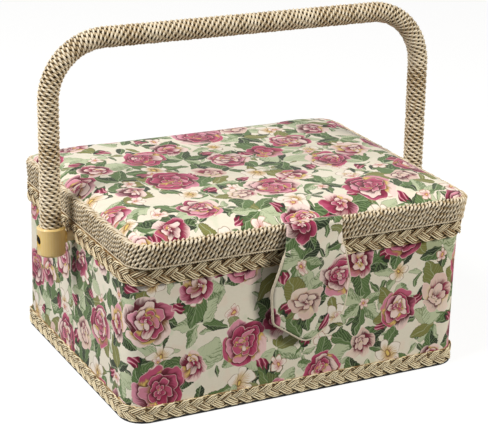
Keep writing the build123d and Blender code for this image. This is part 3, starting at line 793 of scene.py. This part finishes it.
# ---- Straw plaits round the walls ----
def make_plait(name, node, tone, lift=0.0):
    """Flat plait of three strands; each strand is a ribbon of fine straws side by side."""
    strands, straws, spacing, period, steps = 3, 4, 1.58, 36.0, 1000
    half_width, thick, depth, sides = 0.78, 0.55, 0.60, 5
    low, high = node_box(node)
    middle, half = (low[2] + high[2]) / 2 + lift, (high[2] - low[2]) / 2 - lift
    proud = high[0] - walls.half
    repeats = int(round(walls.length / period))
    edge, swing = half - half_width, half * 0.78
    s = walls.round(steps)
    rows = []

    def add(along, beyond, height, lean, tint):
        centre, out = raised(*walls.at(along, -beyond), height)
        run = vec(-out[:, 1], out[:, 0], 0.0)
        rows.append((centre, run * lean[:, :1] + up_way * lean[:, 1:], out, tint))

    for strand in range(strands):
        phase = (s / walls.length * repeats + strand / strands) * tau
        side = swing * np.arcsin(0.97 * np.sin(phase)) / np.arcsin(0.97)
        slope = np.gradient(side, s)
        lean = unit(vec(-slope, 1.0))
        # A straw lies on top from an edge to the middle and dips under beyond it.
        rising = np.clip(4 * np.cos(phase), -1, 1)
        for straw_index in range(straws):
            shift = (straw_index - (straws - 1) / 2) * spacing
            wander = 0.24 * waves(s, 40.0 * straw_index, 31 + strand, 14.0)
            free = side + (shift + wander) * lean[:, 1]
            over = depth * np.tanh(2.6 * rising * free / half + 0.9 * np.sin(2 * phase))
            over += chance.normal(0, 0.06) + 0.13 * waves(s, 9.0 * straw_index, 50 + strand, 11.0)
            tint = tone + chance.normal(0, 0.40)
            tint = tint + 0.65 * waves(s, 7.0 * straw_index, 70 + strand, 12.0)
            # Straws that reach the edge fold over and run along it.
            add(s + shift * lean[:, 0], proud - thick - 1.2 * depth + over,
                middle + np.clip(free, -edge, edge), lean, tint)
    for sign in (-1, 1):    # a straight straw sewn close to the wall behind each edge
        add(s, thick + 0.15, middle + sign * (edge - 0.4), np.array([[0.0, 1.0]]) + 0 * lean,
            tone - 0.5 + 0.3 * waves(s, 0.0, 80 + sign, 20.0))
    centres, acrosses, outs, tints = [np.array(column) for column in zip(*rows)]
    plait = Strands(name, centres, acrosses, outs, half_width, thick, sides, tints, straw,
                    closed=True)
    # Painted shade deeper where a strand dives under the others, and none at the plait's edges.
    flat, outward = walls.at(s)
    surface = ((plait.points[..., :2] - flat[None, :, None]) * outward[None, :, None]).sum(-1)
    lifted = np.clip(1.25 - (proud - surface) / (2 * depth), 0, 1)
    at_edge = np.clip((np.abs(plait.points[..., 2] - middle) / half - 0.75) * 8, 0, 1)
    plait.set_painted_light_mask(np.maximum(plait.colour[..., 1] * (0.4 + 0.6 * lifted), at_edge * 0.6))
    dress(plait.piece, "box", "straw_braid", node)


make_winding()
make_band()
make_plait("rim_plait", "rim_braid", 0.45)
make_plait("bottom_plait", "bottom_braid", 0.68, 0.4)


# ---- Printed cover of the walls ----
def make_wall_cover():
    fold, rows, columns = 0.6, 26, 340
    top, bottom = wall_high[2], wall_low[2]
    inner = cover_thickness + wall_thickness
    profile = [(0.0, z) for z in np.linspace(bottom, top - fold, rows)]
    profile += [(fold * (1 - cos(a)), top - fold + fold * sin(a))
                for a in np.linspace(0, pi / 2, 4)[1:]]
    profile = np.array(profile + [
        (inner, top), (inner, top - cover_thickness),
        (cover_thickness, top - cover_thickness), (cover_thickness, bottom)])
    drawn = run_up(np.hypot(*np.diff(profile, axis=0).T)) + bottom
    s = walls.length / 2 + walls.round(columns)
    inset, height = profile[:, :1], profile[:, 1:]
    outside = (np.arange(len(profile)) < rows)[:, None]
    ripple = 0.14 * waves(s[None], height, 91, 46.0) * outside
    points, _ = raised(*walls.at(s[None] + 0 * inset, inset - ripple), height + 0 * s)
    span = walls.length / 2 + np.linspace(0, walls.length, columns + 1)
    up = np.append(drawn, drawn[-1] + cover_thickness)
    uv = vec(span, up[:, None])
    piece = grid_piece("wall_print", points, printed, True, True, uv)
    dress(piece, "box", "printed_cotton", "wall_cover")


# ---- Padded top of the lid ----
def flat_uv(piece, *shift):
    """Print laid straight down on a nearly level cover."""
    mesh = piece.data
    place = np.array([mesh.vertices[loop.vertex_index].co[:2] for loop in mesh.loops])
    uv = (place + np.array(shift) * MM).astype(np.float32)
    mesh.uv_layers.new(name="print").data.foreach_set("uv", uv.reshape(-1))


def freeze(piece):
    """Replaces the piece's mesh by what its modifiers make of it."""
    evaluated = piece.evaluated_get(bpy.context.evaluated_depsgraph_get())
    mesh = bpy.data.meshes.new_from_object(evaluated)
    piece.modifiers.clear()
    piece.data = mesh


def vertices(piece):
    return np.array([v.co for v in piece.data.vertices])


def inflate(piece, pressure, most, held_below, frames=20):
    """Cloth simulation under pressure from inside; no point moves further than most."""
    start = vertices(piece)
    pins = piece.vertex_groups.new(name="held")
    pins.add([i for i, p in enumerate(start) if p[2] < held_below * MM], 1.0, "REPLACE")
    settings = modify(piece, "CLOTH").settings
    settings.use_pressure, settings.uniform_pressure_force = True, pressure
    settings.effector_weights.gravity = 0.0
    settings.vertex_group_mass, settings.quality = "held", 4
    for frame_number in range(1, frames + 1):
        bpy.context.scene.frame_set(frame_number)
    freeze(piece)
    bpy.context.scene.frame_set(1)
    piece.vertex_groups.clear()
    moved = vertices(piece) - start
    length = np.linalg.norm(moved, axis=1, keepdims=True)
    moved *= np.minimum(1, most * MM / np.maximum(length, 1e-9))
    piece.data.vertices.foreach_set("co", (start + moved).reshape(-1))


def make_pad():
    columns, swell, bulge, hidden, shoulder = 200, 2.2, 4.4, 6.0, 0.8
    crown = pad_top - lid_top - swell
    reach = pad_reach * 0.9 + bulge
    profile = [(0.4, lid_top - hidden), (-bulge * 0.6, lid_top - shoulder)]
    profile += [(reach * (1 - cos(a)) - bulge, lid_top + shoulder + (crown - shoulder) * sin(a))
                for a in np.linspace(0, pi / 2, 9)]
    rows = []
    for inset, height in profile:
        inset += pad_inset
        ring = Outline(lid.half + side_flare - inset, lid.front + front_flare - inset,
                       lid.back - inset, pad_corner)
        rows.append(raised(*ring.at(ring.round(columns)), height)[0])
    piece = grid_piece("lid_pad", np.array(rows), None, wrap_columns=True)
    close_holes(piece)
    modify(piece, "REMESH", mode="VOXEL", voxel_size=0.004, use_smooth_shade=True)
    freeze(piece)
    inflate(piece, 4.0, swell + 1.0, lid_top - 0.5)
    modify(piece, "SMOOTH", factor=0.5, iterations=6)
    freeze(piece)
    piece.data.materials.clear()
    piece.data.materials.append(printed)
    flat_uv(piece, 27.0, 340.0)
    modify(piece, "SUBSURF", levels=1, render_levels=1)
    dress(piece, "lid", "printed_cotton", "lid_cover", "lid_foam")


# ---- Closure tab ----
tab_thickness = 3.6
tab_back_high, tab_back_low = -122.4, -118.15
tab_waist, tab_tip = 133.0, 47.0
tab_half_widths = ((24.0, 160.0), (24.0, tab_waist), (34.4, 96.0), (30.6, 68.0), (0.0, tab_tip))
tab_radii = (60.0, 26.0, 7.0, 12.0)


def rounded_path(points, radii, spacing):
    """Polyline with its corners rounded, as evenly spaced points."""
    points = [np.array(p, float) for p in points]
    path = [points[0]]
    for before, corner, after, radius in zip(points, points[1:], points[2:], radii):
        first, second = unit(before - corner), unit(after - corner)
        half = acos(np.clip(first @ second, -1, 1)) / 2
        centre = corner + unit(first + second) * radius / sin(half)
        starts = [corner + side * radius / tan(half) - centre for side in (first, second)]
        a, b = [atan2(v[1], v[0]) for v in starts]
        sweep = (b - a + pi) % tau - pi
        path += [centre + radius * np.array([cos(a + sweep * i / 8), sin(a + sweep * i / 8)])
                 for i in range(9)]
    path = np.array(path + [points[-1]])
    run = run_up(np.linalg.norm(np.diff(path, axis=0), axis=1))
    even = np.linspace(0, run[-1], int(run[-1] / spacing) + 1)
    return vec(*[np.interp(even, run, path[:, i]) for i in (0, 1)])


def on_tab(x, drawn, offset):
    """Place on the hanging tab; drawn is the height on the flat pattern, offset is outwards."""
    bend, top_at, bow, fall = 2.6, 146.8, 2.2, 0.12
    lean_foot, lean_run, bow_foot, bow_run = 83.0, 47.0, 66.0, 72.0
    high, low = tab_back_high - tab_thickness / 2, tab_back_low - tab_thickness / 2
    t = np.clip((drawn - lean_foot) / lean_run, 0, 1)
    y = low + (high - low) * t * t * (3 - 2 * t)
    y = y - bow * np.sin(pi * np.clip((drawn - bow_foot) / bow_run, 0, 1))
    slope = (high - low) * 6 * t * (1 - t) / lean_run
    angle = np.clip((drawn - top_at) / bend, 0, pi / 2)
    past = np.clip(drawn - top_at - bend * pi / 2, 0, None)
    y = y + bend * (1 - np.cos(angle)) + past
    z = np.minimum(drawn, top_at) + bend * np.sin(angle) - past * fall
    normal_y = -np.cos(angle) / np.hypot(1, slope)
    normal_z = np.sin(angle) + slope * np.cos(angle)
    return vec(x, y + normal_y * offset, z + normal_z * offset)


def make_tab():
    spacing, rings, spine_foot, pattern_at = 1.6, 12, 74.0, (212.0, 18.0)
    thin_from, thin_run = 147.0, 12.0       # it thins out where it is sewn into the lid
    right = list(tab_half_widths)
    left = [(-x, z) for x, z in right[:-1]]
    edge = rounded_path(left + right[::-1], tab_radii + tab_radii[-2::-1], spacing)
    spine = vec(0.0, np.maximum(edge[:, 1], spine_foot))
    share = np.linspace(0, 1, rings)[:, None] ** 0.8
    flat = spine + share[..., None] * (edge - spine)
    x, drawn = flat[..., 0], flat[..., 1]
    thin = 1 - np.clip((drawn - thin_from) / thin_run, 0, 1) * 0.97
    puff = 0.55 + 0.45 * (1 - share ** 4)
    dimple = 0.10 * waves(x, drawn, 13, 26.0) * (1 - share)
    front = on_tab(x, drawn, (tab_thickness / 2 * puff + dimple) * thin)
    back = on_tab(x, drawn, -tab_thickness / 2 * (0.75 + 0.25 * puff) * thin)
    points = np.concatenate([front, back[::-1]])
    pattern = np.concatenate([flat, flat[::-1]]) + pattern_at
    piece = grid_piece("tab_pouch", points, printed, uv=pattern, weld=0.06)
    close_holes(piece)
    dress(piece, None, "printed_cotton", "tab_cover", "tab_stiffener", "tab_anchor")
    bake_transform(piece)

    # Piping sewn round the lower edge, in a plain cream cloth rather than the print.
    radius, sewn_out, fade, sides = 1.15, 0.45, 6.0, 8
    run = edge[edge[:, 1] < tab_waist + 1.0]
    travel = unit(np.gradient(run, axis=0))
    out = vec(travel[:, 1], -travel[:, 0])
    if (out[:, 0] * run[:, 0]).sum() < 0:
        out = -out
    order = np.arange(len(run))
    ends = np.clip(np.minimum(order, order[::-1]) / fade, 0.05, 1)
    rows = []
    for angle in np.arange(sides) * tau / sides:
        flat = run + out * ((sewn_out + radius * cos(angle)) * ends)[:, None]
        rows.append(on_tab(flat[:, 0], flat[:, 1], radius * 1.05 * sin(angle) * ends))
    piece = grid_piece("tab_edge", np.array(rows), piping, wrap_rows=True)
    close_holes(piece)
    dress(piece, "tab", "piping_cord", "tab_piping")


# ---- Linings ----
def shell_piece(name, outline, profile, centre_rows, relief, material, thickness, columns=260):
    """Lining: rows up the wall from a list of (inset, height), then level rows to the middle.

    relief gives how far the level part stands out at each place."""
    s = outline.round(columns)
    rows = [raised(*outline.at(s, inset), height + 0 * s)[0] for inset, height in profile]
    rim = rows[-1]
    middle = np.array([0, (outline.back - outline.front) / 2, rim[0, 2]])
    for scale in np.linspace(1, 0, centre_rows + 1)[1:]:
        row = middle + (rim - middle) * scale
        row[:, 2] = rim[:, 2] + relief(row[:, 0], row[:, 1]) * min(1, (1 - scale) * 8)
        rows.append(row)
    piece = grid_piece(name, np.array(rows), material, wrap_columns=True, weld=0.05)
    modify(piece, "SOLIDIFY", thickness=thickness * MM, offset=1.0)
    return piece


def make_linings():
    bend = 2.5
    low, high = node_box("box_lining")
    floor = low[2] + satin_thickness
    sides = [(inside_inset, z) for z in np.linspace(high[2], floor + bend, 24)]
    sides += [(inside_inset + bend * (1 - cos(a)), floor + bend * (1 - sin(a)))
              for a in (0.5, 1.0, pi / 2)]
    piece = shell_piece("box_satin", walls, sides, 28,
                        lambda x, y: 0.25 * waves(x, y, 61, 40.0), satin, satin_thickness - 0.1)
    dress(piece, "box", "satin", "box_lining")

    low, high = node_box("lid_lining")
    inset, ceiling = band_high[0] - side_flare - high[0] + 1.3, high[2] - satin_thickness
    diamond = 26.0

    def quilted(x, y):
        first, second = np.sin(pi * (x + y) / diamond), np.sin(pi * (x - y) / diamond)
        puff = 2.4 * np.abs(first * second) ** 0.5
        for least, most in map(node_box, ("lid_pocket", "pin_cushion")):    # flat behind these
            outside = np.maximum(np.maximum(least[0] - x, x - most[0]),
                                 np.maximum(least[1] - y, y - most[1]))
            puff = np.where(outside < 7, np.minimum(puff, 1.1 + 0.2 * np.clip(outside, 0, 7)), puff)
        return 1.0 - puff

    sides = [(inset + 0.8, z) for z in np.linspace(low[2] + 0.1, ceiling - 1.0, 5)]
    piece = shell_piece("lid_satin", lid, sides + [(inset + 1.4, ceiling)], 40, quilted, satin,
                        -satin_thickness + 0.1, 300)
    dress(piece, "lid", "satin", "lid_lining")


def make_cushion():
    low, high = node_box("pin_cushion")
    middle, half = (low + high) / 2, (high - low) / 2
    puckers, columns = 42, 168
    outline = Outline(half[0], half[1], half[1], 11.0)
    s = outline.round(columns)
    rim = outline.at(s)[0]
    wave = np.sin(s / outline.length * puckers * tau)
    rows = []
    for scale in np.cos(np.linspace(0.0, pi / 2, 20)):
        depth = (1 - scale ** 2.8) ** 0.5 * (high[2] - low[2]) + 0.175 * scale ** 6 * wave
        flat = rim * scale * (1 - 0.012 * (1 + wave))[:, None]
        rows.append(np.column_stack([flat + middle[:2], high[2] - depth]))
    piece = grid_piece("pin_cushion_dome", np.array(rows), satin_red, wrap_columns=True, weld=0.05)
    close_holes(piece)
    dress(piece, "lid", "satin_pad", "pin_cushion")


def make_pocket():
    mouth_side, fold_pitch, gather_pitch, casing_at, casing_half = 14.0, 10.6, 3.4, 0.86, 0.05
    low, high = node_box("lid_pocket")
    x = np.linspace(low[0], high[0], 220)[None]
    y = np.linspace(low[1], high[1], 40)[:, None]
    up = (high[1] - y) / (high[1] - low[1])      # the mouth is at the front, uppermost when open
    side = np.clip(np.minimum(x - low[0], high[0] - x) / mouth_side, 0, 1)
    open_edge = np.clip(up * 1.3, 0, 1) ** 1.2 * side
    fold = 0.5 + 0.5 * np.sin(x / fold_pitch * tau + 0.9 * waves(x, 0.35 * y, 41, 34.0))
    casing = np.exp(-((up - casing_at) / casing_half) ** 4) * side
    gathers = np.cos(x / gather_pitch * tau + 0.7 * waves(x, 0 * y, 43, 12.0))
    depth = 1.7 + open_edge * (0.6 + 3.2 * fold) * (1 - 0.75 * casing)
    z = high[2] - 0.1 - depth - casing * (1.7 + 0.8 * gathers)
    piece = grid_piece("gathered_pocket", vec(x, y, z), satin)
    modify(piece, "SOLIDIFY", thickness=0.5 * MM, offset=-1.0)
    dress(piece, "lid", "satin", "lid_pocket", "pocket_elastic")


def make_base():
    low, high = node_box("base_cloth")
    grow, rise = 2.9, 1.5       # the felt's edge shows as a dark line under the plait
    outline = Outline(high[0] + grow, high[1] + grow, high[1] + grow, wall_corner - 1.0 + grow)
    profile = [(grow, rise), (0.4, rise), (0.0, rise - 0.3), (0.0, 0.35), (0.35, 0.05)]
    piece = shell_piece("base_felt", outline, profile, 16,
                        lambda x, y: 0.12 + 0.10 * waves(x, y, 77, 35.0), felt, 0.4, 200)
    dress(piece, "box", "black_cloth", "base_cloth")


make_wall_cover()
make_pad()
make_tab()
make_linings()
make_cushion()
make_pocket()
make_base()


# ---- Floor, light and camera ----
def make_stage():
    paint = Paint("pale_floor", (128, 128, 127), 0.9, specular_ior_level=0.1)
    seen = paint.node("LightPath", out="Is Camera Ray")
    white = paint.node("Emission", (1, 1, 1, 1), seen * 0.86)
    both = paint.node("AddShader", Wire(paint.tree, paint.shader.outputs[0]), white)
    paint.plug(paint.tree.nodes["Material Output"].inputs["Surface"], both)
    corners = [[[x, y, 0.0] for x in (-6000.0, 6000.0)] for y in (-4000.0, 9000.0)]
    grid_piece("floor", np.array(corners), paint.material, smooth=False)

    world = bpy.data.worlds.new("studio")
    bpy.context.scene.world = world
    world.use_nodes = True
    nodes = Nodes(world.node_tree)
    camera, gloss, glass = [nodes.node("LightPath", out=f"Is {kind} Ray")
                            for kind in ("Camera", "Glossy", "Transmission")]
    back = world.node_tree.nodes["Background"].inputs
    nodes.plug(back["Color"], (1, 1, 1, 1))
    nodes.plug(back["Strength"], camera.at_least(gloss).at_least(glass) * 0.90 + 0.10)


def area_light(name, place, target, size, power, colour):
    light = bpy.data.lights.new(name, "AREA")
    light.size, light.energy, light.color = size, power, colour
    lamp = add(name, light)
    lamp.location = place
    lamp.rotation_euler = (Vector(target) - Vector(place)).to_track_quat("-Z", "Y").to_euler()


def make_camera():
    focal, image_width, sensor = 1716.8, 488.0, 36.0
    place = Vector((-620.5, -1192.7, 605.0)) * MM
    azimuth, elevation, roll = radians(-27.62), radians(20.385), radians(1.81)
    view = Vector((-sin(azimuth) * cos(elevation), cos(azimuth) * cos(elevation), -sin(elevation)))
    data = bpy.data.cameras.new("camera")
    data.sensor_width, data.lens = sensor, focal / image_width * sensor
    data.clip_start, data.clip_end = 0.05, 60.0
    bpy.context.scene.camera = camera = add("camera", data)
    turn = view.to_track_quat("-Z", "Y").to_matrix() @ Matrix.Rotation(roll, 3, "Z")
    camera.matrix_world = Matrix.Translation(place) @ turn.to_4x4()


make_stage()
area_light("key", (-1.32, -0.04, 1.42), (0, 0, 0.1), 0.9, 35.5, (1.0, 0.985, 0.96))
area_light("front", (1.25, -1.25, 0.95), (0, 0, 0.08), 0.45, 24.5, (1.0, 0.965, 0.885))
make_camera()
bpy.context.scene.view_settings.view_transform = "Standard"
